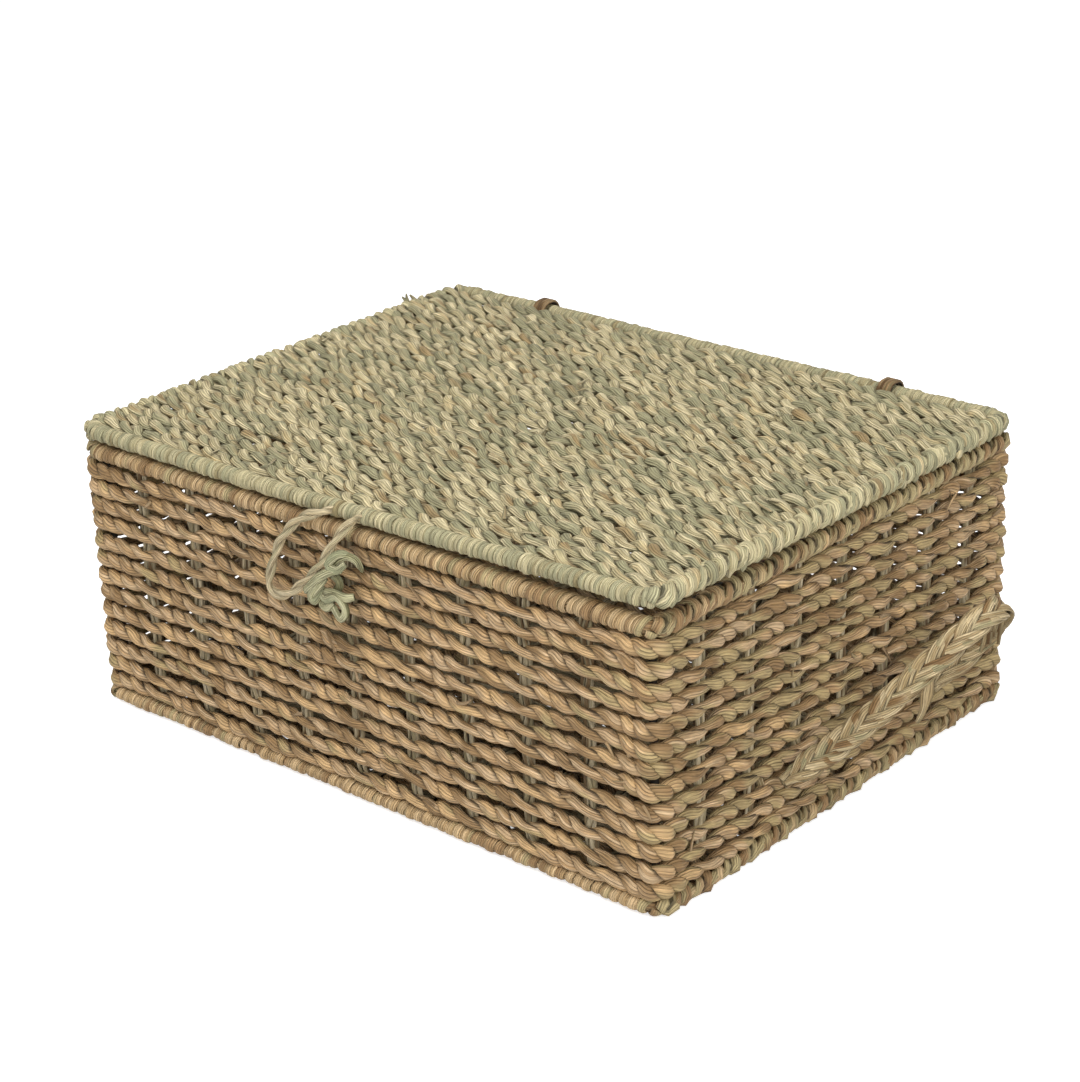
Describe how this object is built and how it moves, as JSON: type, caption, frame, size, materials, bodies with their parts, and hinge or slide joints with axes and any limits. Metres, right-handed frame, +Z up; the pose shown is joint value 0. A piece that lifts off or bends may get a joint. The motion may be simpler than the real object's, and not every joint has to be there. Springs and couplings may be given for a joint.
{
  "type": "woven storage box with hinged lid",
  "caption": "Rectangular twined seagrass storage box on a wire frame, with a flat hinged lid, a cord loop and knot closure, and a braided handle on each end wall.",
  "frame": {"origin": "middle of the footprint, on the surface that the box stands on", "axes": "+X along the long side towards the end wall with the handle seen in the picture, +Y from the front to the hinge, +Z up"},
  "size_m": [0.4956, 0.3235, 0.169],
  "materials": {
    "wall_weft": "twined dried seagrass, tan to brown, matt",
    "border_wrap": "seagrass wrapped round the wire hoops, brown, matt",
    "stake": "thin bundled seagrass stakes, grey-green, matt",
    "wire": "plain drawn steel wire",
    "lid_weft": "twined seagrass, mixed cream and sage green, matt",
    "lid_wrap": "seagrass wrapped round the lid's hoop, sage green, matt",
    "braid": "flat leaf braided in three strands, pale straw",
    "lashing": "brown seagrass lashing",
    "cord": "two-strand twisted leaf cord, cream",
    "knot": "knotted green seagrass"
  },
  "bodies": {
    "basket": {"wire_frame": "wire", "base_binding": "border_wrap", "rim_binding": "border_wrap", "base_weft": "wall_weft", "wall_row_01": "wall_weft", "wall_row_02": "wall_weft", "wall_row_03": "wall_weft", "wall_row_04": "wall_weft", "wall_row_05": "wall_weft", "wall_row_06": "wall_weft", "wall_row_07": "wall_weft", "wall_row_08": "wall_weft", "wall_row_09": "wall_weft", "wall_row_10": "wall_weft", "wall_row_11": "wall_weft", "wall_row_12": "wall_weft", "wall_row_13": "wall_weft", "stake_front_to_back_1": "stake", "stake_front_to_back_2": "stake", "stake_front_to_back_3": "stake", "stake_front_to_back_4": "stake", "stake_front_to_back_5": "stake", "stake_front_to_back_6": "stake", "stake_front_to_back_7": "stake", "stake_front_to_back_8": "stake", "stake_front_to_back_9": "stake", "stake_side_to_side_1": "stake", "stake_side_to_side_2": "stake", "stake_side_to_side_3": "stake", "stake_side_to_side_4": "stake", "stake_side_to_side_5": "stake", "stake_side_to_side_6": "stake", "stake_side_to_side_7": "stake", "hinge_tie_left": "lashing", "hinge_tie_right": "lashing", "handle_right_knot_front": "braid", "handle_right_knot_back": "braid", "handle_left_knot_front": "braid", "handle_left_knot_back": "braid", "toggle_knot": "knot"},
    "lid": {"lid_wire": "wire", "lid_binding": "lid_wrap", "lid_weft": "lid_weft", "lid_stake_1": "stake", "lid_stake_2": "stake", "lid_stake_3": "stake", "lid_stake_4": "stake", "lid_stake_5": "stake", "lid_stake_6": "stake", "lid_stake_7": "stake", "lid_stake_8": "stake", "lid_stake_9": "stake"},
    "loop": {"closure_loop": "cord"},
    "right_grip": {"handle_right": "braid"},
    "left_grip": {"handle_left": "braid"}
  },
  "joints": [
    {"name": "lid_hinge", "type": "hinge", "parent": "basket", "child": "lid", "pos_m": [0, 0.1495, 0.1608], "axis": [-1, 0, 0], "range_deg": [0, 180]},
    {"name": "loop_swing", "type": "hinge", "parent": "lid", "child": "loop", "pos_m": [0, -0.1495, 0.1608], "axis": [-1, 0, 0], "range_deg": [0, 110]},
    {"name": "right_handle_lift", "type": "hinge", "parent": "basket", "child": "right_grip", "pos_m": [0.205, 0, 0.04009], "axis": [0, -1, 0], "range_deg": [-75, 20]},
    {"name": "left_handle_lift", "type": "hinge", "parent": "basket", "child": "left_grip", "pos_m": [-0.205, 0, 0.04009], "axis": [0, 1, 0], "range_deg": [-75, 20]}
  ]
}
